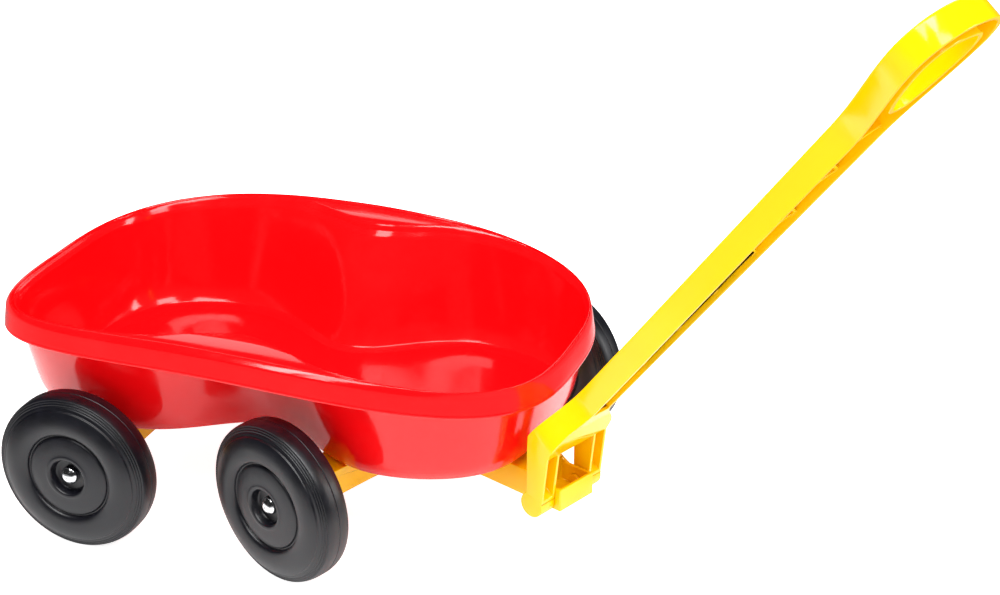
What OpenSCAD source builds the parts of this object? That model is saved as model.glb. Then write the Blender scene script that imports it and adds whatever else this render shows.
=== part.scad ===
// Child's pull wagon: a moulded tub on four wheels, steered by a hinged handle.
// Lengths are in millimetres and angles in degrees.
// The pieces are laid out from the rear axle on the ground, with +X forwards,
// +Y to the wagon's left and +Z up. The finished part has its origin at the
// middle of the tub's inner floor.

/* [Tub] */
// Length of the tub's rim
tub_length = 541; // [480:1:640]
// Width of the tub's rim
tub_width = 367; // [350:1:376]
// Thickness of the tub's moulded wall
tub_wall = 2.5; // [1.5:0.1:3.5]
// Height of the highest point of the rim above the tub's underside
tub_height = 120; // [90:1:170]
// How far the rim falls from its highest point to the front end
rim_fall = 30; // [0:1:40]
// Height of the tub's underside above the axles
tub_lift = 17; // [16:0.5:24]
// Height of the skirt that hangs from the rim
skirt_height = 24; // [10:0.5:30]
// How far the skirt flares outwards
skirt_flare = 2.6; // [0:0.1:6]
// Share of the width that the waist takes from each side of the opening
waist_depth = 0.22; // [0:0.01:0.3]
// Share of the width that the waist takes from each side of the floor
floor_waist_depth = 0.43; // [0:0.01:0.5]
// How far the side walls lean inwards between the opening and the floor
side_draft = 21; // [12:1:30]
// How far the end walls lean inwards between the opening and the floor
end_draft = 11; // [6:1:30]

/* [Wheels] */
// Outside diameter of a wheel
wheel_diameter = 150; // [120:1:180]
// Width of a wheel over its shoulders
wheel_width = 42; // [34:0.5:44]
// Depth of the hub recess on each side of a wheel
hub_recess = 9; // [6:0.5:11]
// Distance between the mid-planes of the two wheels on one axle
track = 374; // [370:1:460]
// Distance from the rear axle to the kingpin
wheelbase = 265; // [255:1:300]
// Diameter of the axle rods
axle_diameter = 8; // [6:0.5:10]
// Diameter of the chromed push-on caps
cap_diameter = 16.6; // [15:0.2:20]

/* [Hitch and handle] */
// Distance from the kingpin to the handle's hinge
hitch_reach = 164; // [158:1:220]
// How far the handle's hinge sits below the axles
hitch_drop = 4.5; // [0:0.5:8]
// Diameter of the handle's hinge pegs
peg_diameter = 11; // [8:0.5:14]
// Width of the gap between the fork's legs
fork_gap = 46; // [38:0.2:56]
// Thickness of each leg of the fork
leg_thickness = 18; // [10:0.5:22]
// Distance from the hinge to the tip of the grip
handle_length = 624; // [500:1:760]
// Depth of the handle's channel
handle_depth = 23; // [18:0.5:26]
// Width of the grip over its widest part
grip_width = 100; // [80:1:120]
// Thickness of the handle's moulded walls
handle_wall = 3; // [2:0.1:4]

/* [Pose] */
// Steering angle of the front axle, with straight ahead as 0
steer_now = -21.6; // [-24:0.1:24]
// Angle of the handle's shaft above level
lift_now = 52; // [0:1:60]

/* [Fits] */
// Radial clearance of a running fit
running_gap = 0.06; // [0.02:0.01:0.1]
// Gap between faces that move past each other
side_gap = 0.4; // [0.3:0.1:0.8]

/* [Hidden] */
$fn = 48;

red = "red";
yellow = "gold";
black = [0.09, 0.09, 0.1];
steel = "silver";

// Heights above the ground
wheel_radius = wheel_diameter / 2;
tub_clearance = wheel_radius + tub_lift;
rim_height = tub_clearance + tub_height;
floor_top = tub_clearance + tub_wall;
hitch_height = wheel_radius - hitch_drop;

// Tub outline: at the rim's outer edge, at the opening and at the floor. The roundness is
// that of a superellipse, with one value for the front half and one for the rear half.
origin_x = 142;
rim_centre_x = 138;
rim_round = [2.8, 3.1];
opening_centre_x = 143;
opening_inset_ends = 10;
opening_inset_sides = 10.4;
opening_round = [3.1, 3.6];
opening_waist_x = 151;
opening_waist_reach = 65;
floor_centre_x = 140;
floor_round = [3.4, 3.3];
floor_waist_x = 146;
floor_waist_reach = 76;
fillet = 14;
rim_peak_x = 116;
ring_points = 72;
waist_spacing = 1.6;
pad_height = 1.2;
kingpin_pad_radius = 16;
bolt_pad_radius = 9;

// Axles and what sits on them
half_track = track / 2;
axle_radius = axle_diameter / 2;
hub_face = wheel_width / 2 - hub_recess;
washer_thickness = 1.5;
washer_outer = half_track - hub_face - side_gap;
boss_end = washer_outer - washer_thickness;
beam_end = half_track - wheel_width / 2 - 2.6;
cap_inner = half_track + hub_face + side_gap;
cap_skirt = 4.5;
cap_dome = 3.5;
cap_bore_depth = 4.8;

// Axle beams
beam_wall = 3;
beam_half = 17;
beam_bottom = wheel_radius - 13;
boss_radius = 10;
ring_thickness = 3;
bogie_top = tub_clearance - ring_thickness - side_gap;

// Kingpin stack
kingpin_radius = 4;
washer_sheet = 1.5;
kingpin_hub_radius = 24;
hub_pocket_radius = 12;
hub_roof = 3;
lower_washer_sheet = 1;
nut_height = 3;
nut_radius = 7.5;
bolt_head_radius = 9;
bolt_head_height = 4.5;

// Rear bolts
rear_bolt_radius = 3;
rear_bolt_y = 45;

// Hitch box
box_half = fork_gap / 2 - side_gap;
box_wall = 3.5;
box_front = 18;
box_back = 20;
box_floor = hitch_height - 8.4;
box_top = 13;
leg_end_radius = 12;
peg_radius = peg_diameter / 2;
peg_length = box_wall + 2.5;

// Handle, in its own frame: X along the shaft from the hinge, Z towards its closed side
shaft_under = 22;
shaft_top = shaft_under + handle_depth;
shaft_half_low = 13;
shaft_half_high = 22;
shaft_start = 102;
fork_half = fork_gap / 2 + leg_thickness;
shoulder_start = 58;
window_end = 50;
leg_under = 17;
grip_length = 139;
grip_start = handle_length - grip_length;
grip_wide = handle_length - 34;
grip_round_start = handle_length - 42;
grip_band = 18;
opening_start = handle_length - 98;
opening_end = handle_length - 20;
web_end = 98;
rib_count = 14;
rib_thickness = 1.8;

function mix(a, b, t) = a + (b - a) * t;
function smooth(t) = let (c = min(max(t, 0), 1)) c * c * (3 - 2 * c);
function signed_power(v, p) = sign(v) * pow(abs(v), p);

// One point of the tub's plan. k is 0 at the opening and 1 at the rim's outer edge, down is
// 0 at the rim and 1 at the floor, and inset moves the line inwards.
function tub_point(k, down, inset, angle) =
  let (
    half_l = tub_length / 2 - mix(opening_inset_ends, 0, k) - end_draft * down - inset,
    half_w = tub_width / 2 - mix(opening_inset_sides, 0, k) - side_draft * down - inset,
    round = mix(mix(opening_round, rim_round, k), floor_round, down),
    n = cos(angle) > 0 ? round[0] : round[1],
    centre = mix(mix(opening_centre_x, rim_centre_x, k), floor_centre_x, down),
    x = centre + half_l * signed_power(cos(angle), 2 / n),
    waist = mix(opening_waist_x, floor_waist_x, down),
    reach = mix(opening_waist_reach, floor_waist_reach, down),
    depth = mix(waist_depth * (1 - k), floor_waist_depth, down)
  )
  [x, half_w * signed_power(sin(angle), 2 / n) * (1 - depth * exp(-pow((x - waist) / reach, 2)))];

// Height of the rim's top at a distance x along the tub
function rim_top(x) =
  rim_height - rim_fall * pow((x - rim_peak_x) / (rim_centre_x + tub_length / 2 - rim_peak_x), 2);

// Angle of a ring's point, which keeps the points evenly spaced where the waist curves
function ring_angle(i) =
  let (quarter = ring_points / 4, q = floor(i / quarter), t = (i - q * quarter) / quarter)
  q % 2 == 0 ? 90 * (q + 1 - pow(1 - t, waist_spacing)) : 90 * (q + pow(t, waist_spacing));

// One ring of the tub. down is 0 at the rim and 1 at the floor, drop lowers the ring.
function tub_ring(k, inset, down, drop, floor_z) =
  [for (i = [0:ring_points - 1])
    let (p = tub_point(k, down, inset, ring_angle(i)))
    [p.x, p.y, mix(rim_top(p.x) - drop, floor_z, down)]];

// Wall inset at a share of the way down, for a wall that meets the floor in a round
function wall_inset(down) = 2 + fillet * pow(down, 10);

wall_steps = [0.1, 0.35, 0.6, 0.78, 0.88, 0.95, 1];

tub_rings = concat(
  [for (i = [len(wall_steps) - 1:-1:0])
    tub_ring(0, wall_inset(wall_steps[i]), wall_steps[i], 0, floor_top)],
  [
    tub_ring(0, 1.4, 0, 5, floor_top),
    tub_ring(0, 0, 0, 2, floor_top),
    tub_ring(0.12, 0.6, 0, 0.5, floor_top),
    tub_ring(0.45, 1, 0, 0, floor_top),
    tub_ring(0.8, 1.5, 0, 0.3, floor_top),
    tub_ring(1, 1.4, 0, 1, floor_top),
    tub_ring(1, 0.2, 0, 2.6, floor_top),
    tub_ring(1, -0.3, 0, 5, floor_top),
    tub_ring(1, -skirt_flare, 0, skirt_height, floor_top),
    tub_ring(1, tub_wall - skirt_flare, 0, skirt_height, floor_top),
    tub_ring(1, tub_wall, 0, 5 + tub_wall, floor_top),
    tub_ring(0.8, tub_wall + 1, 0, 3.5 + tub_wall, floor_top),
    tub_ring(0.3, -tub_wall / 2, 0, 3.5 + tub_wall, floor_top),
    tub_ring(0, -tub_wall / 2, 0, 5 + tub_wall, floor_top)
  ],
  [for (down = wall_steps)
    tub_ring(0, wall_inset(down) - tub_wall * (1 - pow(down, 20)), down, tub_wall, tub_clearance)]
);

// One strip across the floor, between two neighbouring points of a ring and the two that mirror them
function floor_strip(i, count) =
  i == 0 ? [0, 1, count - 1]
  : i == count / 2 - 1 ? [i, i + 1, i + 2]
  : [i, i + 1, count - i - 1, count - i];

// Triangles between each ring and the next, closed by the floor's two faces
function loft_faces(rings, count) = concat(
  [for (s = [0:count / 2 - 1]) let (strip = floor_strip(s, count))
    [for (i = [len(strip) - 1:-1:0]) strip[i]]],
  [for (r = [0:rings - 2], i = [0:count - 1])
    [r * count + i, r * count + (i + 1) % count, (r + 1) * count + (i + 1) % count]],
  [for (r = [0:rings - 2], i = [0:count - 1])
    [r * count + i, (r + 1) * count + (i + 1) % count, (r + 1) * count + i]],
  [for (s = [0:count / 2 - 1])
    [for (i = floor_strip(s, count)) (rings - 1) * count + i]]
);

// Moves a piece from the layout on the ground to the finished part's frame
module in_place() {
  translate([-origin_x, 0, -floor_top]) children();
}

// Moves a piece from the kingpin's own frame to its steered place
module steered() {
  in_place() translate([wheelbase, 0, 0]) rotate([0, 0, steer_now]) children();
}

// A shaft or a hole along Y between two distances from the middle
module rod_y(radius, from_y, to_y, x = 0, z = wheel_radius) {
  translate([x, from_y, z]) rotate([-90, 0, 0]) cylinder(r = radius, h = to_y - from_y);
}

module plate_washer(radius, hole, thickness) {
  difference() {
    cylinder(r = radius, h = thickness);
    translate([0, 0, -1]) cylinder(r = hole, h = thickness + 2);
  }
}

module tub() {
  points = [for (ring = tub_rings) for (p = ring) p];
  color(red) in_place() difference() {
    union() {
      polyhedron(points = points, faces = loft_faces(len(tub_rings), ring_points), convexity = 8);
      translate([wheelbase, 0, tub_clearance + tub_wall / 2])
        cylinder(r = kingpin_pad_radius, h = tub_wall / 2 + pad_height);
      for (side = [-1, 1])
        translate([0, side * rear_bolt_y, tub_clearance + tub_wall / 2])
          cylinder(r = bolt_pad_radius, h = tub_wall / 2 + pad_height);
    }
    translate([wheelbase, 0, tub_clearance - 1])
      cylinder(r = kingpin_radius + running_gap, h = tub_wall + pad_height + 2);
    for (side = [-1, 1])
      translate([0, side * rear_bolt_y, tub_clearance - 1])
        cylinder(r = rear_bolt_radius + running_gap, h = tub_wall + pad_height + 2);
  }
}

// Inverted channel that carries an axle, with a boss at each end
module axle_beam(top_z) {
  ribs = [-beam_end * 0.66, -beam_end * 0.33, beam_end * 0.33, beam_end * 0.66];
  rib = beam_wall;
  difference() {
    union() {
      difference() {
        translate([-beam_half, -beam_end, beam_bottom])
          cube([2 * beam_half, 2 * beam_end, top_z - beam_bottom]);
        translate([-beam_half + beam_wall, -beam_end + 2 * beam_wall, beam_bottom - 1])
          cube([2 * (beam_half - beam_wall), 2 * beam_end - 4 * beam_wall,
                top_z - beam_bottom - beam_wall + 1]);
      }
      for (y = ribs)
        translate([-beam_half, y - rib / 2, beam_bottom + 1])
          cube([2 * beam_half, rib, top_z - beam_bottom - 2]);
      for (side = [-1, 1])
        rod_y(boss_radius, side > 0 ? beam_end - 1 : -boss_end, side > 0 ? boss_end : 1 - beam_end);
    }
    rod_y(axle_radius, -track, track);
  }
}

module rear_axle_bracket() {
  color(yellow) in_place() difference() {
    axle_beam(tub_clearance);
    for (side = [-1, 1])
      translate([0, side * rear_bolt_y, tub_clearance - beam_wall - 1])
        cylinder(r = rear_bolt_radius + running_gap, h = beam_wall + 2);
  }
}

// Domed bolt with its head on the z = 0 plane and its shank below
module domed_bolt(radius, head_radius, head_height, length) {
  dome_radius = (head_radius * head_radius + head_height * head_height) / (2 * head_height);
  intersection() {
    translate([0, 0, head_height - dome_radius]) sphere(r = dome_radius);
    cylinder(r = head_radius, h = head_height + 1);
  }
  translate([0, 0, -length]) cylinder(r = radius, h = length + 0.5);
}

module hex_nut(radius, hole, height) {
  difference() {
    cylinder(r = radius, h = height, $fn = 6);
    translate([0, 0, -1]) cylinder(r = hole, h = height + 2);
  }
}

rear_nut_height = 3.2;

module rear_bolts() {
  color(steel) in_place() for (side = [-1, 1])
    translate([0, side * rear_bolt_y, floor_top + pad_height])
      domed_bolt(rear_bolt_radius, 7, 3, pad_height + tub_wall + beam_wall + rear_nut_height + 0.8);
}

module rear_nuts() {
  color(steel) in_place() for (side = [-1, 1])
    translate([0, side * rear_bolt_y, tub_clearance - beam_wall - rear_nut_height])
      hex_nut(5.6, rear_bolt_radius, rear_nut_height);
}

module axle() {
  color(steel) rod_y(axle_radius, -cap_inner - cap_bore_depth, cap_inner + cap_bore_depth);
}

module rear_axle() {
  in_place() axle();
}

module front_axle() {
  steered() axle();
}

// Half of a wheel's section, as distances from the axle and from the mid-plane
half_w = wheel_width / 2;
tread_half = half_w - 9;
wheel_section = [
  [axle_radius + running_gap, hub_face], [14.5, hub_face], [16, hub_face + 1],
  [17.4, half_w - 2], [18.6, half_w - 0.7], [20.5, half_w - 0.4], [30, half_w - 1.2],
  [37.5, half_w - 3], [39.5, half_w - 5], [41, half_w - 4.6],
  [43, half_w - 1.6], [47, half_w - 0.3], [52, half_w], [57, half_w - 0.6], [62, half_w - 2.2],
  [wheel_radius - 10, half_w - 3.8], [wheel_radius - 9, half_w - 5],
  [wheel_radius - 5, half_w - 6.3], [wheel_radius - 2, tread_half],
  [wheel_radius - 0.5, tread_half - 3], [wheel_radius, tread_half - 6]];
wheel_cavity = [
  [21, hub_face - 3.5], [23, half_w - 4.5], [37, half_w - 7.5], [44, half_w - 6],
  [52, half_w - 3], [60, half_w - 4.6], [wheel_radius - 12, half_w - 7],
  [wheel_radius - 5, tread_half - 2], [wheel_radius - 2.8, tread_half - 6]];

function mirrored(points) =
  concat(points, [for (i = [len(points) - 1:-1:0]) [points[i].x, -points[i].y]]);

module wheel() {
  color(black) rotate([-90, 0, 0]) difference() {
    rotate_extrude($fn = 96) polygon(mirrored(wheel_section));
    rotate_extrude($fn = 96) polygon(mirrored(wheel_cavity));
  }
}

module wheel_at(side) {
  translate([0, side * half_track, wheel_radius]) wheel();
}

module cap_at(side) {
  dome = (pow(cap_diameter / 2, 2) + cap_dome * cap_dome) / (2 * cap_dome);
  color(steel) translate([0, side * cap_inner, wheel_radius]) rotate([-90 * side, 0, 0])
    difference() {
      union() {
        cylinder(d = cap_diameter, h = cap_skirt);
        intersection() {
          translate([0, 0, cap_skirt + cap_dome - dome]) sphere(r = dome);
          translate([0, 0, cap_skirt - 0.5]) cylinder(d = cap_diameter, h = cap_dome + 1);
        }
      }
      translate([0, 0, -1]) cylinder(r = axle_radius, h = cap_bore_depth + 1);
    }
}

module washer_at(side) {
  color(steel) translate([0, side > 0 ? boss_end : -washer_outer, wheel_radius])
    rotate([-90, 0, 0])
        plate_washer(boss_radius - 1, axle_radius, washer_thickness);
}

module rear_left_wheel() {
  in_place() wheel_at(1);
}

module rear_right_wheel() {
  in_place() wheel_at(-1);
}

module front_left_wheel() {
  steered() wheel_at(1);
}

module front_right_wheel() {
  steered() wheel_at(-1);
}

module rear_left_cap() {
  in_place() cap_at(1);
}

module rear_right_cap() {
  in_place() cap_at(-1);
}

module front_left_cap() {
  steered() cap_at(1);
}

module front_right_cap() {
  steered() cap_at(-1);
}

module rear_left_washer() {
  in_place() washer_at(1);
}

module rear_right_washer() {
  in_place() washer_at(-1);
}

module front_left_washer() {
  steered() washer_at(1);
}

module front_right_washer() {
  steered() washer_at(-1);
}

// Kingpin and the rings on it
module steering_washer() {
  color(black) steered() translate([0, 0, tub_clearance - ring_thickness])
    plate_washer(30, kingpin_radius + running_gap, ring_thickness);
}

lower_washer_z = bogie_top - hub_roof - side_gap / 2 - lower_washer_sheet;

module kingpin() {
  head_z = floor_top + pad_height + washer_sheet;
  color(steel) steered() translate([0, 0, head_z])
    domed_bolt(kingpin_radius, bolt_head_radius, bolt_head_height,
               head_z - lower_washer_z + nut_height + 0.6);
}

module kingpin_washer() {
  color(steel) steered() translate([0, 0, floor_top + pad_height])
    plate_washer(14, kingpin_radius, washer_sheet);
}

module kingpin_lower_washer() {
  color(steel) steered() translate([0, 0, lower_washer_z])
    plate_washer(10, kingpin_radius, lower_washer_sheet);
}

module kingpin_nut() {
  color(steel) steered() translate([0, 0, lower_washer_z - nut_height])
    hex_nut(nut_radius, kingpin_radius, nut_height);
}

// Side view of the hitch box, in the kingpin's frame
module hitch_side() {
  back_x = hitch_reach - box_back;
  front_x = hitch_reach + box_front;
  polygon([
    [back_x, box_floor], [front_x, box_floor], [front_x, hitch_height + box_top],
    [back_x + 10, hitch_height + box_top], [back_x, bogie_top]]);
}

// Steering beam, drawbar and hitch box in one moulding
module front_bogie() {
  drawbar_start = beam_half - beam_wall;
  drawbar_end = hitch_reach - box_back + box_wall;
  drawbar_half = box_half - 1;
  color(yellow) steered() difference() {
    union() {
      axle_beam(bogie_top);
      translate([0, 0, beam_bottom]) cylinder(r = kingpin_hub_radius, h = bogie_top - beam_bottom);
      difference() {
        translate([drawbar_start, -drawbar_half, box_floor])
          cube([drawbar_end - drawbar_start, 2 * drawbar_half, bogie_top - box_floor]);
        translate([kingpin_hub_radius, -drawbar_half + beam_wall, box_floor - 1])
          cube([drawbar_end - box_wall - kingpin_hub_radius, 2 * (drawbar_half - beam_wall),
                bogie_top - box_floor - beam_wall + 1]);
      }
      for (x = [48:24:120])
        translate([x, -drawbar_half, box_floor + 1])
          cube([2, 2 * drawbar_half, bogie_top - box_floor - 2]);
      difference() {
        translate([0, box_half, 0]) rotate([90, 0, 0]) linear_extrude(2 * box_half) hitch_side();
        translate([hitch_reach - box_back + box_wall, -box_half + box_wall, box_floor + box_wall])
          cube([box_front + box_back - 2 * box_wall, 2 * (box_half - box_wall), 60]);
      }
    }
    translate([0, 0, beam_bottom - 1])
      cylinder(r = kingpin_radius + running_gap, h = bogie_top - beam_bottom + 2);
    translate([0, 0, beam_bottom - 1])
      cylinder(r = hub_pocket_radius, h = bogie_top - hub_roof - beam_bottom + 1);
    rod_y(axle_radius, -boss_end + 5, boss_end - 5);
    rod_y(peg_radius + running_gap, -box_half - 1, box_half + 1, hitch_reach, hitch_height);
  }
}

// Half-width of the handle's plan at a distance along it
function handle_half(x) =
  x < shaft_start ? mix(fork_half, shaft_half_low, smooth((x - shoulder_start) / (shaft_start - shoulder_start)))
  : let (
      shaft = mix(shaft_half_low, shaft_half_high, (x - shaft_start) / (grip_start - shaft_start)),
      full = mix(min(shaft, shaft_half_high), grip_width / 2,
                 smooth((x - grip_start) / (grip_wide - grip_start)))
    )
    x < grip_round_start ? full
    : full * pow(max(0, 1 - pow((x - grip_round_start) / (handle_length - grip_round_start), 2.4)), 1 / 2.4);

// Half-width of the hole in the grip
function opening_half(x) =
  let (
    middle = (opening_start + opening_end) / 2,
    reach = (opening_end - opening_start) / 2
  )
  max(0, min(handle_half(min(x, grip_wide)) - grip_band, grip_width / 2))
    * pow(max(0, 1 - pow(abs(x - middle) / reach, 3.2)), 1 / 3.2);

function stations(from_x, to_x, count) = [for (i = [0:count]) from_x + (to_x - from_x) * i / count];

// Stations that bunch up towards a rounded end
function bunched(from_x, to_x, count) =
  [for (i = [0:count]) to_x - (to_x - from_x) * pow(1 - i / count, 2)];

function two_sided(edge) =
  concat(edge, [for (i = [len(edge) - 1:-1:0]) [edge[i].x, -edge[i].y]]);

outer_x = concat(
  stations(shoulder_start, shaft_start, 12), stations(grip_start, grip_round_start - 4, 12),
  bunched(grip_round_start, handle_length - 0.2, 12));

module handle_plan(inset) {
  polygon(two_sided(concat(
    [[-30, fork_half - inset]],
    [for (x = outer_x) [x - (x > grip_wide ? inset : 0), max(0.3, handle_half(x) - inset)]])));
}

module opening_plan(outset) {
  left = [for (i = [0:8]) opening_start + (opening_end - opening_start) / 2 * pow(i / 8, 2)];
  right = [for (i = [7:-1:0]) opening_end - (opening_end - opening_start) / 2 * pow(i / 8, 2)];
  middle = (opening_start + opening_end) / 2;
  polygon(two_sided([for (x = concat(left, right))
    [x + outset * (x - middle) / (opening_end - middle), opening_half(x) + (opening_half(x) > 0 ? outset : 0)]]));
}

// Side view of the fork, from the hinge to where the shaft begins
module fork_side() {
  polygon([
    [5, 11], [38, 36.5], [50, shaft_top], [shaft_start + 2, shaft_top],
    [shaft_start + 2, shaft_under], [window_end + 28, shaft_under], [window_end, leg_under],
    [10, -7]]);
  circle(r = leg_end_radius);
}

// Side view of the core that hollows the web between the legs, open at the channel
module web_core_side() {
  polygon([
    [window_end + handle_wall, leg_under + 1.6 * handle_wall],
    [window_end + handle_wall, shaft_top - handle_wall],
    [shaft_start + 4, shaft_top - handle_wall], [shaft_start + 4, shaft_under - 8],
    [web_end, shaft_under - 8], [web_end, shaft_under + handle_wall],
    [window_end + 28, shaft_under + handle_wall]]);
}

// Side view of the pocket in each leg, cut from the open side
module leg_pocket_side() {
  polygon([
    [13, -14], [window_end, 4], [window_end, 31], [38, 25], [13, 6]]);
}

// A side view made into a cut across the fork, inside the walls, between two distances from the middle
module fork_cut(from_y, to_y) {
  intersection() {
    translate([0, to_y, 0]) rotate([90, 0, 0]) linear_extrude(to_y - from_y) children();
    translate([0, 0, -40]) linear_extrude(120) handle_plan(handle_wall);
  }
}

module fork() {
  web_half = fork_gap / 2 + handle_wall;
  difference() {
    intersection() {
      translate([0, fork_half, 0]) rotate([90, 0, 0]) linear_extrude(2 * fork_half) fork_side();
      translate([0, 0, -40]) linear_extrude(120) handle_plan(0);
    }
    translate([-60, -fork_gap / 2, -60]) cube([60 + window_end, fork_gap, 140]);
    fork_cut(-web_half, web_half) web_core_side();
    fork_cut(web_half, fork_half) leg_pocket_side();
    fork_cut(-fork_half, -web_half) leg_pocket_side();
  }
}

module shaft() {
  difference() {
    translate([0, 0, shaft_under]) linear_extrude(handle_depth) difference() {
      intersection() {
        handle_plan(0);
        translate([shaft_start, -80]) square([handle_length, 160]);
      }
      opening_plan(0);
    }
    translate([0, 0, shaft_under - 1]) linear_extrude(handle_depth - handle_wall + 1) difference() {
      intersection() {
        handle_plan(handle_wall);
        translate([shaft_start - 1, -80]) square([handle_length, 160]);
      }
      opening_plan(handle_wall);
    }
  }
}

// Zigzag stiffening ribs inside the channel
module shaft_ribs() {
  pitch = (grip_start - shaft_start) / rib_count;
  for (i = [0:rib_count - 1]) {
    x0 = shaft_start + 8 + i * pitch;
    x1 = x0 + pitch;
    side = i % 2 == 0 ? 1 : -1;
    y0 = side * (handle_half(x0) - handle_wall / 2);
    y1 = -side * (handle_half(x1) - handle_wall / 2);
    translate([0, 0, shaft_under + 5]) linear_extrude(handle_depth - 6) polygon([
      [x0 - rib_thickness, y0], [x0 + rib_thickness, y0], [x1 + rib_thickness, y1], [x1 - rib_thickness, y1]]);
  }
}

module handle() {
  color(yellow) steered() translate([hitch_reach, 0, hitch_height]) rotate([0, -lift_now, 0]) {
    fork();
    shaft();
    shaft_ribs();
    for (side = [-1, 1])
      rod_y(peg_radius, side > 0 ? fork_gap / 2 - peg_length : -fork_gap / 2 - 1,
            side > 0 ? fork_gap / 2 + 1 : peg_length - fork_gap / 2, 0, 0);
  }
}

tub();
rear_axle_bracket();
rear_bolts();
rear_nuts();
rear_axle();
rear_left_wheel();
rear_right_wheel();
rear_left_cap();
rear_right_cap();
rear_left_washer();
rear_right_washer();
steering_washer();
kingpin();
kingpin_washer();
kingpin_lower_washer();
kingpin_nut();
front_bogie();
front_axle();
front_left_wheel();
front_right_wheel();
front_left_cap();
front_right_cap();
front_left_washer();
front_right_washer();
handle();
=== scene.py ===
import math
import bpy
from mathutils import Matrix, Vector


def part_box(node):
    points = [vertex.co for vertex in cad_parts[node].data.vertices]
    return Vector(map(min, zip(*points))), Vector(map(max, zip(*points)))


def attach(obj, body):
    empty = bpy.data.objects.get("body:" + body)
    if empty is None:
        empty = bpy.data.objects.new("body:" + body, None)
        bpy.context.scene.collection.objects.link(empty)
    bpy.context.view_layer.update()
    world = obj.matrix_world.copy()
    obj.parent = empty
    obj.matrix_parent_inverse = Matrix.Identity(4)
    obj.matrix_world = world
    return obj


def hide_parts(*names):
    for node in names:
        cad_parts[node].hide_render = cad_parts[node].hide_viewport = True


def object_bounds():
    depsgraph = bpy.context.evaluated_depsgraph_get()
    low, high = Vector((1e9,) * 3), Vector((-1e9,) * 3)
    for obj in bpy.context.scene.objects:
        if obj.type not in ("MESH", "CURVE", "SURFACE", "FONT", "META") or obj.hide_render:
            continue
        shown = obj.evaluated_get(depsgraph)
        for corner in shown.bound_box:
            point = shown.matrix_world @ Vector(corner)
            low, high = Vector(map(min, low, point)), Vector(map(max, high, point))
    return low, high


bl_info = {
    "name": "Pull Wagon",
    "version": (1, 0, 0),
    "blender": (4, 5, 0),
    "location": "View3D > Sidebar > Wagon",
    "description": "Builds a moulded toy pull wagon around its CAD frame",
    "category": "Add Mesh",
}

import bmesh
import bpy
from bpy.props import FloatProperty, FloatVectorProperty, IntProperty, PointerProperty
from mathutils import Matrix, Vector

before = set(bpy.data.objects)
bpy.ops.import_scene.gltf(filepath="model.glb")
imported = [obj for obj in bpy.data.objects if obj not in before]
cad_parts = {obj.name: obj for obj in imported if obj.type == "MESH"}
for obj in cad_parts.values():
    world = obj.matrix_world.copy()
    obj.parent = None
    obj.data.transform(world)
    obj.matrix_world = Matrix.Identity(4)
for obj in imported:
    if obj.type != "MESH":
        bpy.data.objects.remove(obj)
CAD_BOX = [list(corner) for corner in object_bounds()]

TUB_LOW, TUB_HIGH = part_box("tub")
WHEEL_LOW, WHEEL_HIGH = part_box("rear_left_wheel")
CAP_LOW, CAP_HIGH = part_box("rear_left_cap")
FLOOR_Z = CAD_BOX[0][2]

SKIRT_FLARE = 0.0026

# What a copy of a CAD node is cleaned with before its edges are rounded
MERGE_DISTANCE = 0.00003
FLAT_ANGLE = math.radians(1.2)
SHARP_ANGLE = math.radians(30)


# ---------------------------------------------------------------- sizes and colours

class TubSettings(bpy.types.PropertyGroup):
    """Sizes and colour of the tub"""
    flare: FloatProperty(name="Skirt flare", description="How far the skirt flares out below the rim",
                         default=SKIRT_FLARE, unit="LENGTH")
    skirt: FloatProperty(name="Skirt height", description="Height of the skirt that hangs from the rim",
                         default=0.024, unit="LENGTH")
    wall: FloatProperty(name="Wall", description="Thickness of the moulded wall",
                        default=0.0025, unit="LENGTH")
    length: FloatProperty(name="Length", description="Length over the rim, without the flare",
                          default=TUB_HIGH.x - TUB_LOW.x - 2 * SKIRT_FLARE, unit="LENGTH")
    width: FloatProperty(name="Width", description="Width over the rim, without the flare",
                         default=TUB_HIGH.y - TUB_LOW.y - 2 * SKIRT_FLARE, unit="LENGTH")
    height: FloatProperty(name="Rim height", description="Height of the rim's peak above the inner floor",
                          default=TUB_HIGH.z, unit="LENGTH")
    fall: FloatProperty(name="Rim fall", description="How far the rim falls from its peak to the front end",
                        default=0.030, unit="LENGTH")
    waist: FloatProperty(name="Waist",
                         description="Share of the opening's width that the waist takes from each side",
                         default=0.22, min=0.0, max=0.3, subtype="FACTOR")
    floor_waist: FloatProperty(name="Floor waist",
                               description="Share of the floor's width that the waist takes from each side",
                               default=0.43, min=0.0, max=0.5, subtype="FACTOR")
    bead: FloatProperty(name="Bead", description="Width of the rolled bead along the rim's outer edge",
                        default=0.0085, unit="LENGTH")
    colour: FloatVectorProperty(name="Colour", description="Colour of the moulded tub", subtype="COLOR",
                                size=3, min=0.0, max=1.0, default=(0.86, 0.002, 0.004))


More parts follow.
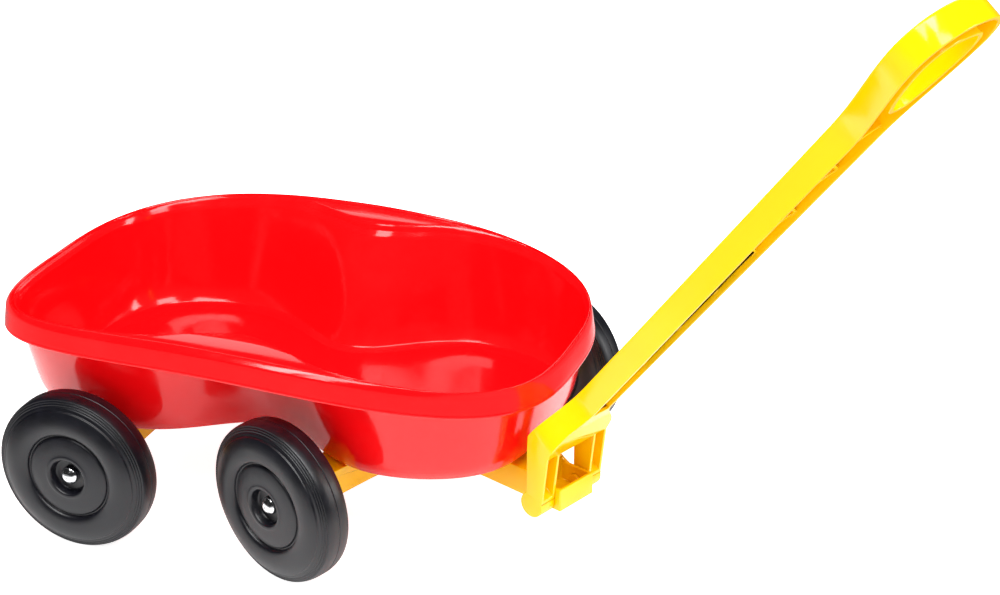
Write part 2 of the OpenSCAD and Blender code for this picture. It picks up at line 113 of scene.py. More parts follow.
class RunningSettings(bpy.types.PropertyGroup):
    """Sizes and colours of the wheels and the frame mouldings"""
    wheel_radius: FloatProperty(name="Wheel radius", description="Radius over the tread",
                                default=(WHEEL_HIGH.z - WHEEL_LOW.z) / 2, unit="LENGTH")
    wheel_width: FloatProperty(name="Wheel width", description="Width over the shoulders",
                               default=WHEEL_HIGH.y - WHEEL_LOW.y, unit="LENGTH")
    wheel_segments: IntProperty(name="Wheel segments", description="Facets round a wheel",
                                default=144, min=24)
    edge: FloatProperty(name="Edge radius", description="Rounding of the frame mouldings' edges",
                        default=0.0011, unit="LENGTH")
    handle_edge: FloatProperty(name="Handle edge radius", description="Rounding of the handle's closed side",
                               default=0.0028, unit="LENGTH")
    black: FloatVectorProperty(name="Black", description="Colour of the blow-moulded wheels", subtype="COLOR",
                               size=3, min=0.0, max=1.0, default=(0.0022, 0.0022, 0.0045))
    yellow: FloatVectorProperty(name="Yellow", description="Colour of the handle and frame", subtype="COLOR",
                                size=3, min=0.0, max=1.0, default=(0.93, 0.53, 0.0))


class StageSettings(bpy.types.PropertyGroup):
    """Camera and studio light"""
    lens: FloatProperty(name="Lens", description="Focal length on a 36 mm sensor, in millimetres",
                        default=72.0)
    azimuth: FloatProperty(name="Azimuth", description="Direction the camera looks from",
                           default=math.radians(20.52), subtype="ANGLE")
    elevation: FloatProperty(name="Elevation", description="How far the camera looks down",
                             default=math.radians(24.78), subtype="ANGLE")
    distance: FloatProperty(name="Distance", description="From the camera to what it looks at",
                            default=1.8, unit="LENGTH")
    target: FloatVectorProperty(name="Target", description="Point the camera looks at", size=3,
                                subtype="TRANSLATION", default=(0.19405, 0.00123, 0.12268))


# ---------------------------------------------------------------- finishes

class Wire:
    """A value in a finish. Arithmetic on it adds the nodes that work it out."""

    def __init__(self, finish, socket):
        self.finish = finish
        self.socket = socket

    def maths(self, operation, first, second):
        return self.finish.node("ShaderNodeMath", {"operation": operation}, {0: first, 1: second})

    def beside(self, output):
        """Another output of the node that this value comes from"""
        return Wire(self.finish, self.socket.node.outputs[output])

    def __add__(self, other):
        return self.maths("ADD", self, other)

    def __radd__(self, other):
        return self.maths("ADD", other, self)

    def __sub__(self, other):
        return self.maths("SUBTRACT", self, other)

    def __rsub__(self, other):
        return self.maths("SUBTRACT", other, self)

    def __mul__(self, other):
        return self.maths("MULTIPLY", self, other)

    def __rmul__(self, other):
        return self.maths("MULTIPLY", other, self)

    def __pow__(self, other):
        return self.maths("POWER", self, other)

    def __rpow__(self, other):
        return self.maths("POWER", other, self)


class Finish:
    """A procedural material on one Principled shader"""

    def __init__(self, name, **constants):
        self.material = bpy.data.materials.new(name)
        self.material.use_nodes = True
        self.tree = self.material.node_tree
        self.shader = self.tree.nodes["Principled BSDF"]
        for socket, value in constants.items():
            self.shader.inputs[socket.replace("_", " ")].default_value = value
        self.place = self.node("ShaderNodeTexCoord", {}, {}, "Object")

    def node(self, kind, settings, inputs, output=0):
        """Adds a node: its settings first, then the values or links of its sockets."""
        made = self.tree.nodes.new(kind)
        for key, value in settings.items():
            if key == "stops":
                ramp = made.color_ramp
                while len(ramp.elements) < len(value):
                    ramp.elements.new(0.5)
                for element, (position, grey) in zip(ramp.elements, value):
                    element.position = position
                    element.color = (grey, grey, grey, 1.0)
            else:
                setattr(made, key, value)
        for key, value in inputs.items():
            if isinstance(value, Wire):
                self.tree.links.new(value.socket, made.inputs[key])
            else:
                made.inputs[key].default_value = value
        return Wire(self, made.outputs[output])

    def noise(self, scale, detail=2.0, roughness=0.5, stretch=None):
        place = self.place
        if stretch is not None:
            place = self.node("ShaderNodeVectorMath", {"operation": "MULTIPLY"}, {0: place, 1: stretch})
        grain = {"Vector": place, "Scale": scale, "Detail": detail, "Roughness": roughness}
        return self.node("ShaderNodeTexNoise", {}, grain, "Fac")

    def between(self, low, high, wire):
        """A number that goes from low to high with the wire."""
        return low + wire * (high - low)

    def ramp(self, wire, stops):
        return self.node("ShaderNodeValToRGB", {"stops": stops}, {"Fac": wire})

    def blend(self, factor, first, second):
        """A colour between two colours."""
        return self.node("ShaderNodeMix", {"data_type": "RGBA"},
                         {"Factor": factor, 6: (*first, 1.0), 7: (*second, 1.0)}, 2)

    def bump(self, height, strength, distance):
        return self.node("ShaderNodeBump", {},
                         {"Strength": strength, "Distance": distance, "Height": height})

    def feed(self, **wires):
        for socket, wire in wires.items():
            self.tree.links.new(wire.socket, self.shader.inputs[socket.replace("_", " ")])
        return self.material


def shade(colour, factor):
    return tuple(min(1.0, part * factor) for part in colour)


def glossy_moulding(name, colour, deep, roughness):
    """Injection-moulded plastic: an even colour with faint flow marks and a slightly wavy gloss"""
    finish = Finish(name, IOR=1.5, Specular_IOR_Level=0.5)
    flow = finish.noise(9.0, 3.0, 0.55, (1.0, 1.0, 2.2))
    grain = finish.noise(900.0, 2.0, 0.6)
    smears = finish.noise(38.0, 4.0, 0.6)
    waves = finish.noise(26.0, 1.0, 0.4)
    tint = finish.blend(finish.ramp(flow, [(0.35, 0.0), (0.68, 1.0)]), deep, colour)
    dull = finish.between(roughness, roughness + 0.07, finish.ramp(smears, [(0.45, 0.0), (0.8, 1.0)]))
    height = waves * 0.85 + grain * 0.15
    return finish.feed(Base_Color=tint, Roughness=dull, Normal=finish.bump(height, 0.16, 0.0006))


def wheel_moulding(name, colour):
    """Blow-moulded black polyethylene: satin, pitted, with fine rings round the axle"""
    finish = Finish(name, IOR=1.52, Specular_IOR_Level=0.5)
    across = finish.node("ShaderNodeSeparateXYZ", {}, {"Vector": finish.place}, "X")
    up = across.beside("Z")
    radius = (across * across + up * up) ** 0.5
    rings = finish.node("ShaderNodeMath", {"operation": "SINE"}, {0: radius * 5200.0})
    pits = finish.node("ShaderNodeTexVoronoi", {"feature": "F1"},
                       {"Vector": finish.place, "Scale": 420.0, "Randomness": 1.0}, "Distance")
    patch = finish.noise(60.0, 4.0, 0.6)
    speck = finish.noise(700.0, 2.0, 0.7)
    pitted = finish.ramp(pits, [(0.0, 0.0), (0.22, 1.0)])
    tint = finish.blend(finish.ramp(patch, [(0.4, 0.0), (0.7, 1.0)]), colour, shade(colour, 1.9))
    dull = finish.between(0.30, 0.42, finish.ramp(patch, [(0.3, 0.0), (0.75, 1.0)])) + speck * 0.04
    height = pitted * 0.6 + speck * 0.3 + rings * 0.05
    return finish.feed(Base_Color=tint, Roughness=dull, Normal=finish.bump(height, 0.30, 0.00035))


def bright_metal(name, colour, roughness, scratch):
    """Plated steel: faint stains, fine scratches and a slightly uneven polish"""
    finish = Finish(name, Metallic=1.0)
    stain = finish.noise(180.0, 4.0, 0.65)
    lines = finish.noise(60.0, 3.0, 0.5, (1.0, 30.0, 30.0))
    tint = finish.blend(finish.ramp(stain, [(0.4, 0.0), (0.75, 1.0)]), colour, shade(colour, 0.82))
    dull = finish.between(roughness, roughness + scratch, finish.ramp(lines, [(0.4, 0.0), (0.65, 1.0)]))
    return finish.feed(Base_Color=tint, Roughness=dull, Normal=finish.bump(lines, 0.05, 0.0002))


def stage_white(name):
    """Studio floor: a pale sheet that glows faintly where it is seen, and falls off to dark in reflections"""
    finish = Finish(name, Roughness=0.7, Specular_IOR_Level=0.0, Emission_Strength=1.0)
    mottle = finish.noise(3.0, 2.0, 0.5)
    seen = finish.node("ShaderNodeLightPath", {}, {}, "Is Camera Ray")
    mirrored = seen.beside("Is Glossy Ray")
    away = finish.node("ShaderNodeVectorMath", {"operation": "LENGTH"}, {0: finish.place}, "Value")
    near = finish.node("ShaderNodeMapRange", {"clamp": True},
                       {"Value": away, "From Min": 0.42, "From Max": 0.62, "To Min": 1.0, "To Max": 0.12})
    level = 1 - mirrored * (1 - near)
    pale = finish.blend(level, (0.05, 0.05, 0.05), (0.93, 0.93, 0.93))
    return finish.feed(Base_Color=pale, Emission_Color=seen * 0.75 + level * mottle * 0.15)


def finish_named(name):
    """The finish of that name, made on first use"""
    if name in bpy.data.materials:
        return bpy.data.materials[name]
    tub = bpy.context.scene.wagon_tub
    running = bpy.context.scene.wagon_running
    if name == "red_moulding":
        return glossy_moulding(name, tuple(tub.colour), shade(tub.colour, 0.93), 0.10)
    if name == "yellow_moulding":
        return glossy_moulding(name, tuple(running.yellow), shade(running.yellow, 0.96), 0.13)
    if name == "black_wheel":
        return wheel_moulding(name, tuple(running.black))
    if name == "black_bush":
        return glossy_moulding(name, (0.014, 0.014, 0.015), (0.01, 0.01, 0.011), 0.3)
    if name == "chrome_cap":
        return bright_metal(name, (0.86, 0.87, 0.89), 0.10, 0.10)
    if name == "zinc_steel":
        return bright_metal(name, (0.62, 0.63, 0.65), 0.28, 0.14)
    return stage_white(name)


# ---------------------------------------------------------------- mesh helpers

def mix(a, b, t):
    return a + (b - a) * t


def signed_power(value, power):
    return math.copysign(abs(value) ** power, value)


def rounded(profile, passes, closed=False):
    """Cuts the corners of a line of points, each a tuple of numbers, so that it runs smoothly."""
    for _ in range(passes):
        soft = [] if closed else [profile[0]]
        pairs = list(zip(profile, profile[1:] + profile[:1] if closed else profile[1:]))
        for first, second in pairs:
            soft.append(tuple(mix(a, b, 0.25) for a, b in zip(first, second)))
            soft.append(tuple(mix(a, b, 0.75) for a, b in zip(first, second)))
        if not closed:
            soft.append(profile[-1])
        profile = soft
    return profile


def new_piece(name, points, faces, finish, body, slot, *nodes, place=None):
    """Makes a smooth-shaded piece that rides on a body and stands for some CAD nodes."""
    mesh = bpy.data.meshes.new(name)
    mesh.from_pydata(points, [], faces)
    mesh.validate()
    made = bmesh.new()
    made.from_mesh(mesh)
    bmesh.ops.recalc_face_normals(made, faces=made.faces)
    made.to_mesh(mesh)
    made.free()
    mesh.shade_smooth()
    mesh.materials.append(finish_named(finish))
    piece = bpy.data.objects.new(name, mesh)
    bpy.context.scene.collection.objects.link(piece)
    if place is not None:
        piece.matrix_world = place
        bpy.context.view_layer.update()
    return settle(piece, body, slot, *nodes)


def settle(piece, body, slot, *nodes):
    """Puts a piece on its body and in the place of its CAD nodes. The slot is not used."""
    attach(piece, body)
    if nodes:
        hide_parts(*nodes)
    return piece


def ring_faces(rings, count, close_rows=False):
    """Quads between rings of points, each ring closed on itself"""
    rows = rings if close_rows else rings - 1
    return [(r * count + i, r * count + (i + 1) % count,
             ((r + 1) % rings) * count + (i + 1) % count, ((r + 1) % rings) * count + i)
            for r in range(rows) for i in range(count)]


def turned(section, segments):
    """A closed section of (radius, y) points turned round the Y axis"""
    points = []
    for radius, y in section:
        for i in range(segments):
            angle = 2 * math.pi * i / segments
            points.append((radius * math.cos(angle), y, radius * math.sin(angle)))
    return points, ring_faces(len(section), segments, close_rows=True)


def middle(node):
    low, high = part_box(node)
    return (low + high) / 2


def axle_place(left, right, node):
    """Where a turned piece goes: its Y axis along the line from the right wheel to the left wheel"""
    along = (middle(left) - middle(right)).normalized()
    turn = Vector((0.0, 1.0, 0.0)).rotation_difference(along).to_matrix().to_4x4()
    return Matrix.Translation(middle(node)) @ turn


def softened(node, name, finish, body, slot, width, share=None):
    """A copy of a CAD node with rounded edges, which stands for it.
    share(centre, normals) gives an edge's part of the width, where that isn't the same all over."""
    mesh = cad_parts[node].data.copy()
    mesh.name = name
    made = bmesh.new()
    made.from_mesh(mesh)
    bmesh.ops.remove_doubles(made, verts=made.verts, dist=MERGE_DISTANCE)
    bmesh.ops.dissolve_limit(made, angle_limit=FLAT_ANGLE, verts=made.verts, edges=made.edges)
    bmesh.ops.recalc_face_normals(made, faces=made.faces)
    weight = made.edges.layers.float.new("bevel_weight_edge")
    for line in made.edges:
        if len(line.link_faces) == 2 and line.calc_face_angle(0.0) > SHARP_ANGLE:
            centre = (line.verts[0].co + line.verts[1].co) / 2
            normals = [face.normal for face in line.link_faces]
            line[weight] = 1.0 if share is None else share(centre, normals)
    made.to_mesh(mesh)
    made.free()
    mesh.shade_smooth()
    mesh.materials.clear()
    mesh.materials.append(finish_named(finish))
    piece = bpy.data.objects.new(name, mesh)
    bpy.context.scene.collection.objects.link(piece)
    bevel = piece.modifiers.new("edges", "BEVEL")
    bevel.limit_method = "WEIGHT"
    bevel.width = width
    bevel.segments = 3 if share is None else 5
    bevel.use_clamp_overlap = False
    bevel.miter_outer = "MITER_ARC"
    bevel.harden_normals = True
    graph = bpy.context.evaluated_depsgraph_get()
    final = bpy.data.meshes.new_from_object(piece.evaluated_get(graph), depsgraph=graph)
    piece.modifiers.clear()
    piece.data = final
    final.name = name
    return settle(piece, body, slot, node)


# ---------------------------------------------------------------- tub

class TubShape:
    """The tub's surface as rings from the middle of the floor, over the rim, to the underside.
    Each outline is a superellipse with one roundness for its front half and one for its rear half."""
    RIM_CENTRE = -0.004
    RIM_ROUND = (2.8, 3.1)
    OPENING_CENTRE = 0.001
    OPENING_ENDS = 0.010
    OPENING_SIDES = 0.0104
    OPENING_ROUND = (3.1, 3.6)
    OPENING_WAIST = (0.009, 0.065)
    FLOOR_CENTRE = -0.002
    FLOOR_ROUND = (3.4, 3.3)
    FLOOR_WAIST = (0.004, 0.076)
    END_DRAFT = 0.011
    SIDE_DRAFT = 0.021
    FILLET = 0.008
    PEAK_X = -0.026
    LEAST_LEDGE = 0.002

    # Shares of the way down at which the wall has a ring, and how far in from it the floor has one
    WALL_STEPS = (0.085, 0.12, 0.18, 0.26, 0.35, 0.44, 0.53, 0.61, 0.68)
    CORNER_STEPS = (0.74, 0.79, 0.83, 0.865, 0.895, 0.92, 0.94, 0.957, 0.971)
    FLOOR_INSETS = (0.110, 0.080, 0.055)
    CORNER_INSETS = (0.038, 0.028, 0.0215, 0.0172)

    def __init__(self, settings, count=300):
        self.s = settings
        self.count = count
        self.angles = self.even_angles()
        self.widths = [max(self.LEAST_LEDGE, (self.plan(1, 0, 0, a) - self.plan(0, 0, 0, a)).length)
                       for a in self.angles]

    def plan(self, k, down, inset, angle):
        """A point of the plan. k is 0 at the opening and 1 at the rim's outer edge, down is 0 at the rim
        and 1 at the floor, and inset moves the line inwards."""
        half_l = self.s.length / 2 - mix(self.OPENING_ENDS, 0, k) - self.END_DRAFT * down - inset
        half_w = self.s.width / 2 - mix(self.OPENING_SIDES, 0, k) - self.SIDE_DRAFT * down - inset
        end = 0 if math.cos(angle) > 0 else 1
        n = mix(mix(self.OPENING_ROUND[end], self.RIM_ROUND[end], k), self.FLOOR_ROUND[end], down)
        centre = mix(mix(self.OPENING_CENTRE, self.RIM_CENTRE, k), self.FLOOR_CENTRE, down)
        x = centre + half_l * signed_power(math.cos(angle), 2 / n)
        waist = mix(self.OPENING_WAIST[0], self.FLOOR_WAIST[0], down)
        reach = mix(self.OPENING_WAIST[1], self.FLOOR_WAIST[1], down)
        depth = mix(self.s.waist * (1 - k), self.s.floor_waist, down)
        pinch = depth * math.exp(-((x - waist) / reach) ** 2)
        return Vector((x, half_w * signed_power(math.sin(angle), 2 / n) * (1 - pinch)))

    def even_angles(self):
        """Angles that space the points evenly along the outline"""
        fine = 3600
        angles = [2 * math.pi * i / fine for i in range(fine + 1)]
        line = [self.plan(0.3, 0.3, 0, a) for a in angles]
        walked = [0.0]
        for a, b in zip(line, line[1:]):
            walked.append(walked[-1] + (b - a).length)
        even = []
        j = 0
        for i in range(self.count):
            goal = walked[-1] * i / self.count
            while walked[j + 1] < goal:
                j += 1
            even.append(mix(angles[j], angles[j + 1], (goal - walked[j]) / (walked[j + 1] - walked[j])))
        return even

    def rim_top(self, x):
        reach = self.RIM_CENTRE + self.s.length / 2 - self.PEAK_X
        return self.s.height - self.s.fall * ((x - self.PEAK_X) / reach) ** 2

    def ring(self, k, inset, drop, down, floor):
        """One ring of the tub. drop lowers it below the rim's top, floor is its height where down is 1."""
        points = []
        for angle in self.angles:
            p = self.plan(k, down, inset, angle)
            points.append((p.x, p.y, mix(self.rim_top(p.x) - drop, floor, down)))
        return points

    def bead_ring(self, reach, share, drop):
        """A ring a set distance in from the rim's outer edge, or a share of the ledge where that is narrow"""
        points = []
        for angle, width in zip(self.angles, self.widths):
            p = self.plan(1 - min(reach / width, share), 0, 0, angle)
            points.append((p.x, p.y, self.rim_top(p.x) - drop))
        return points

    def wall_inset(self, down):
        """How far in the wall stands at a share of the way down, so that it meets the floor in a round"""
        return 0.002 + self.FILLET * down ** 10

    def rings(self):
        s = self.s
        wall = s.wall
        floor = [(inset, 1.0) for inset in self.FLOOR_INSETS]
        corner = rounded([(inset, 1.0) for inset in self.CORNER_INSETS]
                         + [(self.wall_inset(d), d) for d in reversed(self.CORNER_STEPS)], 2)
        inner = floor + corner + [(self.wall_inset(d), d) for d in reversed(self.WALL_STEPS)]
        rows = [self.ring(0, inset, 0, down, 0.0) for inset, down in inner]
        lip = rounded([(0.0026, 0.0072), (0.0014, 0.0045), (0.0004, 0.0026), (-0.0008, 0.0014)], 2)
        rows += [self.ring(0, inset, drop, 0, 0.0) for inset, drop in lip]
        bead = s.bead
        ledge = rounded([(bead * 3.6, 0.94, 0.0006), (bead * 2.6, 0.92, 0.0008), (bead * 1.7, 0.87, 0.0015),
                         (bead * 1.2, 0.80, 0.0027), (bead * 1.05, 0.74, 0.0033), (bead * 0.98, 0.70, 0.0018),
                         (bead * 0.8, 0.58, 0.0001), (bead * 0.62, 0.45, 0.0002), (bead * 0.34, 0.26, 0.0020),
                         (bead * 0.12, 0.10, 0.0038)], 2)
        rows += [self.bead_ring(*row) for row in ledge]
        flare = s.flare
        skirt = s.skirt
        outside = rounded([(0.0, 0.0052), (-0.0003, 0.0068), (-0.0007, 0.0095),
                           (-flare * 0.8, skirt - 0.0052),
                           (-flare * 0.86, skirt - 0.0032), (-flare * 0.99, skirt - 0.0028), (-flare, skirt),
                           (wall - flare, skirt), (wall - flare * 0.8, skirt - 0.003),
                           (wall - 0.0004, 0.0105), (wall + 0.0002, 0.0078)], 2)
        rows += [self.ring(1, inset, drop, 0, 0.0) for inset, drop in outside]
        under = rounded([(0.92, wall + 0.0002, 0.0064), (0.75, wall + 0.0006, 0.0058),
                         (0.3, -wall / 2, 0.0058), (0.06, -wall / 2, 0.0064),
                         (0.0, -wall / 2 - 0.0003, 0.0078)], 1)
        rows += [self.ring(k, inset, drop, 0, 0.0) for k, inset, drop in under]
        outer = [(inset - wall * (1 - down ** 20), down) for inset, down in reversed(inner)]
        rows += [self.ring(0, inset, wall, down, -wall) for inset, down in outer]
        return rows

    def mesh(self):
        rows = self.rings()
        points = [p for row in rows for p in row]
        faces = ring_faces(len(rows), self.count)
        for first, height in ((0, 0.0), (len(rows) - 1, -self.s.wall)):
            start = first * self.count
            points.append((self.FLOOR_CENTRE, 0.0, height))
            centre = len(points) - 1
            faces += [(centre, start + i, start + (i + 1) % self.count) for i in range(self.count)]
        return points, faces


class WAGON_OT_tub(bpy.types.Operator):
    """Add the moulded tub with its rolled rim, waist and skirt"""
    bl_idname = "wagon.add_tub"
    bl_label = "Add Tub"

    def execute(self, context):
        points, faces = TubShape(context.scene.wagon_tub).mesh()
        new_piece("tub_shell", points, faces, "red_moulding", "wagon", "tub_red", "tub")
        return {"FINISHED"}


class WAGON_OT_floor_pads(bpy.types.Operator):
    """Add the raised pads on the tub's floor, round the kingpin and the rear bolts"""
    bl_idname = "wagon.add_floor_pads"
    bl_label = "Add Floor Pads"

    KINGPIN_PAD = 0.016
    BOLT_PAD = 0.009
    BOLT_HEAD = 0.007
    BORE = 0.0042
    HEIGHT = 0.0012
    SUNK = 0.0006
    SEGMENTS = 72

    def execute(self, context):
        kingpin = middle("kingpin")
        bolts_low, bolts_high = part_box("rear_bolts")
        bolt_y = bolts_high.y - self.BOLT_HEAD
        bolt_x = (bolts_low.x + bolts_high.x) / 2
        spots = [("kingpin_pad", kingpin.x, kingpin.y, self.KINGPIN_PAD),
                 ("left_bolt_pad", bolt_x, bolt_y, self.BOLT_PAD),
                 ("right_bolt_pad", bolt_x, -bolt_y, self.BOLT_PAD)]
        for name, x, y, radius in spots:
            section = rounded([(self.BORE, -self.SUNK), (radius + 0.0014, -self.SUNK),
                               (radius + 0.0006, 0.0002), (radius, self.HEIGHT),
                               (self.BORE, self.HEIGHT)], 2, closed=True)
            turned_points, faces = turned(section, self.SEGMENTS)
            points = [(x + p[0], y - p[2], p[1]) for p in turned_points]
            new_piece(name, points, faces, "red_moulding", "wagon", "tub_red")
        return {"FINISHED"}


# ---------------------------------------------------------------- wheels and caps

HUB_RECESS = 0.009
TREAD_STEPS = 3


def wheel_section(radius, width):
    """Half of a wheel's section from the bore to the tread, then its mirror, as (radius, y) points"""
    half = width / 2
    face = half - HUB_RECESS
    side = [(0.00406, face - 0.001), (0.0046, face), (0.0142, face), (0.0158, face + 0.0008),
            (0.0166, half - 0.0035), (0.0173, half - 0.0013), (0.0184, half - 0.0006),
            (0.0204, half - 0.0005), (0.0216, half - 0.0010), (0.0300, half - 0.0014),
            (0.0372, half - 0.0028), (0.0386, half - 0.0036), (0.0393, half - 0.0052),
            (0.0409, half - 0.0052), (0.0416, half - 0.0028), (0.0434, half - 0.0014),
            (0.0475, half - 0.0002), (0.0520, half), (0.0565, half - 0.0006), (0.0610, half - 0.0020),
            (radius - 0.0113, half - 0.0033), (radius - 0.0105, half - 0.0037),
            (radius - 0.0101, half - 0.0052), (radius - 0.0078, half - 0.0058)]
    tread = []
    for step in range(TREAD_STEPS):
        r = radius - 0.0070 + step * 0.0019
        y = half - 0.0064 - step * 0.0011
        tread += [(r, y), (r + 0.0001, y - 0.0007), (r + 0.0013, y - 0.0008), (r + 0.0015, y - 0.0006)]
    tread += [(radius - 0.0010, half - 0.0108), (radius - 0.0002, half - 0.0140), (radius, half - 0.0175),
              (radius, half - 0.0200), (radius, 0.0006), (radius - 0.0004, 0.0002)]
    one = rounded(side + tread, 2)
    return one + [(r, -y) for r, y in reversed(one)]


class WAGON_OT_wheels(bpy.types.Operator):
    """Add the four blow-moulded wheels with dished hubs and stepped treads"""
    bl_idname = "wagon.add_wheels"
    bl_label = "Add Wheels"

    def execute(self, context):
        running = context.scene.wagon_running
        section = wheel_section(running.wheel_radius, running.wheel_width)
        points, faces = turned(section, running.wheel_segments)
        for end in ("front", "rear"):
            for side in ("left", "right"):
                name = f"{end}_{side}_wheel"
                place = axle_place(f"{end}_left_wheel", f"{end}_right_wheel", name)
                new_piece(name + "_moulding", points, faces, "black_wheel", name, "wheel_black", name,
                          place=place)
        return {"FINISHED"}


class WAGON_OT_caps(bpy.types.Operator):
    """Add the four chromed caps pushed onto the axle ends"""
    bl_idname = "wagon.add_caps"
    bl_label = "Add Caps"

    BORE = 0.0042
    SEGMENTS = 64

    def execute(self, context):
        half = (CAP_HIGH.y - CAP_LOW.y) / 2
        radius = (CAP_HIGH.z - CAP_LOW.z) / 2
        section = rounded([(self.BORE, -half), (radius - 0.0002, -half), (radius, -half + 0.0004),
                           (radius, half - 0.0046), (radius - 0.0004, half - 0.0036),
                           (radius - 0.0021, half - 0.0022), (radius * 0.55, half - 0.0008),
                           (radius * 0.25, half - 0.0001), (0.0002, half), (0.0002, half - 0.0025),
                           (self.BORE, half - 0.0028)], 2, closed=True)
        for end, body in (("front", "steering_bogie"), ("rear", "wagon")):
            for side, sign in (("left", 1), ("right", -1)):
                name = f"{end}_{side}_cap"
                turned_points, faces = turned([(r, y * sign) for r, y in section], self.SEGMENTS)
                place = axle_place(f"{end}_left_wheel", f"{end}_right_wheel", name)
                points = [place @ Vector(p) for p in turned_points]
                new_piece(name + "_dome", points, faces, "chrome_cap", body, "cap_chrome", name)
        return {"FINISHED"}


# ---------------------------------------------------------------- frame mouldings and hardware

class WAGON_OT_handle(bpy.types.Operator):
    """Add the channel-section handle with its fork and grip loop"""
    bl_idname = "wagon.add_handle"
    bl_label = "Add Handle"

    HINGE = Vector((0.27548, -0.06037, -0.024))
    STEER = math.radians(-21.6)
    LIFT = math.radians(52)
    LENGTH = 0.624
    SHAFT_START = 0.108
    TIP = 0.012

    # Part of the other mouldings' edge round that the handle's sharper edges have
    FINE = 0.55

    def axes(self):
        """The handle's own axes: along it, across it, and towards its closed side"""
        level = math.cos(self.LIFT)
        along = Vector((level * math.cos(self.STEER), level * math.sin(self.STEER), math.sin(self.LIFT)))
        across = Vector((-math.sin(self.STEER), math.cos(self.STEER), 0.0))
        return along, across, along.cross(across)

    def execute(self, context):
        running = context.scene.wagon_running
        along, across, closed = self.axes()
        fine = running.edge * self.FINE / running.handle_edge

        def share(centre, normals):
            """The whole round on the closed side's outer edges past the fork, a fine one elsewhere"""
            place = centre - self.HINGE
            side = 1 if place.dot(across) > 0 else -1
            up = max(normal.dot(closed) for normal in normals)
            out = max(normal.dot(across) * side for normal in normals)
            if place.dot(along) > self.LENGTH - self.TIP:
                out = max(out, max(normal.dot(along) for normal in normals))
            if out <= 0.3 or place.dot(along) <= self.SHAFT_START:
                return fine
            return max(fine, min(1.0, 2.5 * up - 0.3))

        softened("handle", "handle_moulding", "yellow_moulding", "pull_handle", "frame_yellow",
                 running.handle_edge, share)
        return {"FINISHED"}


class WAGON_OT_bogies(bpy.types.Operator):
    """Add the steering beam with its drawbar and the rear axle beam"""
    bl_idname = "wagon.add_bogies"
    bl_label = "Add Axle Beams"

    def execute(self, context):
        edge = context.scene.wagon_running.edge
        for node, body in (("front_bogie", "steering_bogie"), ("rear_axle_bracket", "wagon")):
            softened(node, node + "_moulding", "yellow_moulding", body, "frame_yellow", edge)
        return {"FINISHED"}


class WAGON_OT_hardware(bpy.types.Operator):
    """Add the axle rods, washers, bolts, nuts and the kingpin stack"""
    bl_idname = "wagon.add_hardware"
    bl_label = "Add Hardware"

    PIECES = (
        ("rear_axle", "wagon"), ("front_axle", "steering_bogie"), ("rear_bolts", "wagon"),
        ("rear_nuts", "wagon"), ("kingpin", "wagon"), ("kingpin_washer", "wagon"),
        ("kingpin_lower_washer", "wagon"), ("kingpin_nut", "wagon"), ("rear_left_washer", "wagon"),
        ("rear_right_washer", "wagon"), ("front_left_washer", "steering_bogie"),
        ("front_right_washer", "steering_bogie"))
    STEEL_EDGE = 0.00025
    BUSH_EDGE = 0.0004

    def execute(self, context):
        for node, body in self.PIECES:
            softened(node, node + "_plated", "zinc_steel", body, "zinc_steel", self.STEEL_EDGE)
        softened("steering_washer", "steering_washer_ring", "black_bush", "wagon", "bush_black",
                 self.BUSH_EDGE)
        return {"FINISHED"}


# ---------------------------------------------------------------- stage

def softbox(name, azimuth, elevation, distance, wide, tall, radiance, target):
    """A rectangular light that faces the target, placed by its direction from there"""
    light = bpy.data.lights.new(name, "AREA")
    light.shape = "RECTANGLE"
    light.size = wide
    light.size_y = tall
    light.energy = radiance * wide * tall * math.pi
    lamp = bpy.data.objects.new(name, light)
    bpy.context.scene.collection.objects.link(lamp)
    away = Vector((math.sin(azimuth) * math.cos(elevation), -math.cos(azimuth) * math.cos(elevation),
                   math.sin(elevation)))
    lamp.location = target + away * distance
    lamp.rotation_euler = away.to_track_quat("Z", "Y").to_euler()
    return lamp


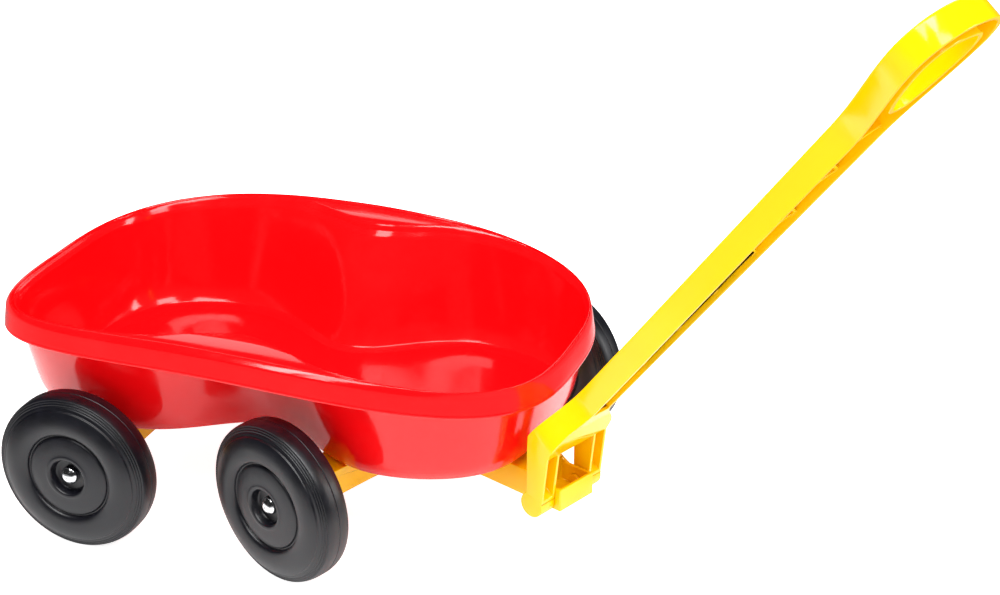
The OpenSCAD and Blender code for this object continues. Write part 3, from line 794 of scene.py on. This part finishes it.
class WAGON_OT_stage(bpy.types.Operator):
    """Add the pale floor, the studio lights and the camera"""
    bl_idname = "wagon.add_stage"
    bl_label = "Add Stage"

    SENSOR = 36.0
    FLOOR_HALF = 12.0
    FLOOR_SINK = 0.0002
    SKY = 0.75
    SKY_IN_REFLECTIONS = 0.02

    # Name, turn from the camera and elevation in degrees, distance, width, height, radiance
    LIGHTS = (
        ("key_left", -26, 50, 2.6, 0.9, 0.7, 8.0), ("key_right", 30, 46, 2.6, 1.0, 0.7, 8.0),
        ("rim_light", -20, 66, 2.4, 1.9, 0.55, 13.0), ("side_strip", 82, 18, 2.4, 0.5, 1.5, 9.0),
        ("back_panel", 180, 30, 2.4, 2.8, 0.9, 1.6), ("overhead", 180, 84, 2.6, 2.2, 1.8, 1.1))
    UNREFLECTED = ("overhead",)

    def execute(self, context):
        scene = context.scene
        stage = scene.wagon_stage
        target = Vector(stage.target)
        camera = bpy.data.objects.new("camera", bpy.data.cameras.new("camera"))
        scene.collection.objects.link(camera)
        camera.data.lens = stage.lens
        camera.data.sensor_width = self.SENSOR
        camera.rotation_euler = (math.pi / 2 - stage.elevation, 0.0, stage.azimuth)
        looks = camera.rotation_euler.to_matrix() @ Vector((0.0, 0.0, -1.0))
        camera.location = target - looks * stage.distance
        scene.camera = camera

        size = self.FLOOR_HALF
        mesh = bpy.data.meshes.new("studio_floor")
        corners = [(-size, -size, 0), (size, -size, 0), (size, size, 0), (-size, size, 0)]
        mesh.from_pydata(corners, [], [(0, 1, 2, 3)])
        mesh.materials.append(finish_named("studio_white"))
        floor = bpy.data.objects.new("studio_floor", mesh)
        floor.location = (0.0, 0.0, FLOOR_Z - self.FLOOR_SINK)
        scene.collection.objects.link(floor)

        for name, turn, elevation, distance, wide, tall, radiance in self.LIGHTS:
            lamp = softbox(name, stage.azimuth + math.radians(turn), math.radians(elevation), distance,
                           wide, tall, radiance, target)
            lamp.visible_glossy = name not in self.UNREFLECTED

        world = bpy.data.worlds.new("studio")
        scene.world = world
        world.use_nodes = True
        nodes = world.node_tree.nodes
        links = world.node_tree.links
        ray = nodes.new("ShaderNodeLightPath")
        level = nodes.new("ShaderNodeMapRange")
        level.inputs["To Min"].default_value = self.SKY
        level.inputs["To Max"].default_value = self.SKY_IN_REFLECTIONS
        links.new(ray.outputs["Is Glossy Ray"], level.inputs["Value"])
        seen = nodes.new("ShaderNodeMath")
        seen.operation = "MAXIMUM"
        links.new(level.outputs["Result"], seen.inputs[0])
        links.new(ray.outputs["Is Camera Ray"], seen.inputs[1])
        background = nodes["Background"]
        background.inputs["Color"].default_value = (1.0, 1.0, 1.0, 1.0)
        links.new(seen.outputs["Value"], background.inputs["Strength"])
        scene.view_settings.view_transform = "Standard"
        return {"FINISHED"}


class WAGON_PT_panel(bpy.types.Panel):
    """Sizes, colours and one button for each group of pieces"""
    bl_idname = "WAGON_PT_panel"
    bl_label = "Pull Wagon"
    bl_space_type = "VIEW_3D"
    bl_region_type = "UI"
    bl_category = "Wagon"

    def draw(self, context):
        for group in ("wagon_tub", "wagon_running", "wagon_stage"):
            column = self.layout.column()
            settings = getattr(context.scene, group)
            for key in settings.__annotations__:
                column.prop(settings, key)
        for operator in OPERATORS:
            self.layout.operator(operator.bl_idname)


SETTINGS = (TubSettings, RunningSettings, StageSettings)
OPERATORS = (WAGON_OT_stage, WAGON_OT_tub, WAGON_OT_floor_pads, WAGON_OT_wheels, WAGON_OT_caps,
             WAGON_OT_handle, WAGON_OT_bogies, WAGON_OT_hardware)
CLASSES = SETTINGS + OPERATORS + (WAGON_PT_panel,)


def register():
    for kind in CLASSES:
        bpy.utils.register_class(kind)
    bpy.types.Scene.wagon_tub = PointerProperty(type=TubSettings)
    bpy.types.Scene.wagon_running = PointerProperty(type=RunningSettings)
    bpy.types.Scene.wagon_stage = PointerProperty(type=StageSettings)


def unregister():
    del bpy.types.Scene.wagon_stage
    del bpy.types.Scene.wagon_running
    del bpy.types.Scene.wagon_tub
    for kind in reversed(CLASSES):
        bpy.utils.unregister_class(kind)


def main():
    register()
    bpy.ops.wagon.add_stage()
    bpy.ops.wagon.add_tub()
    bpy.ops.wagon.add_floor_pads()
    bpy.ops.wagon.add_wheels()
    bpy.ops.wagon.add_caps()
    bpy.ops.wagon.add_handle()
    bpy.ops.wagon.add_bogies()
    bpy.ops.wagon.add_hardware()


if __name__ == "__main__":
    main()
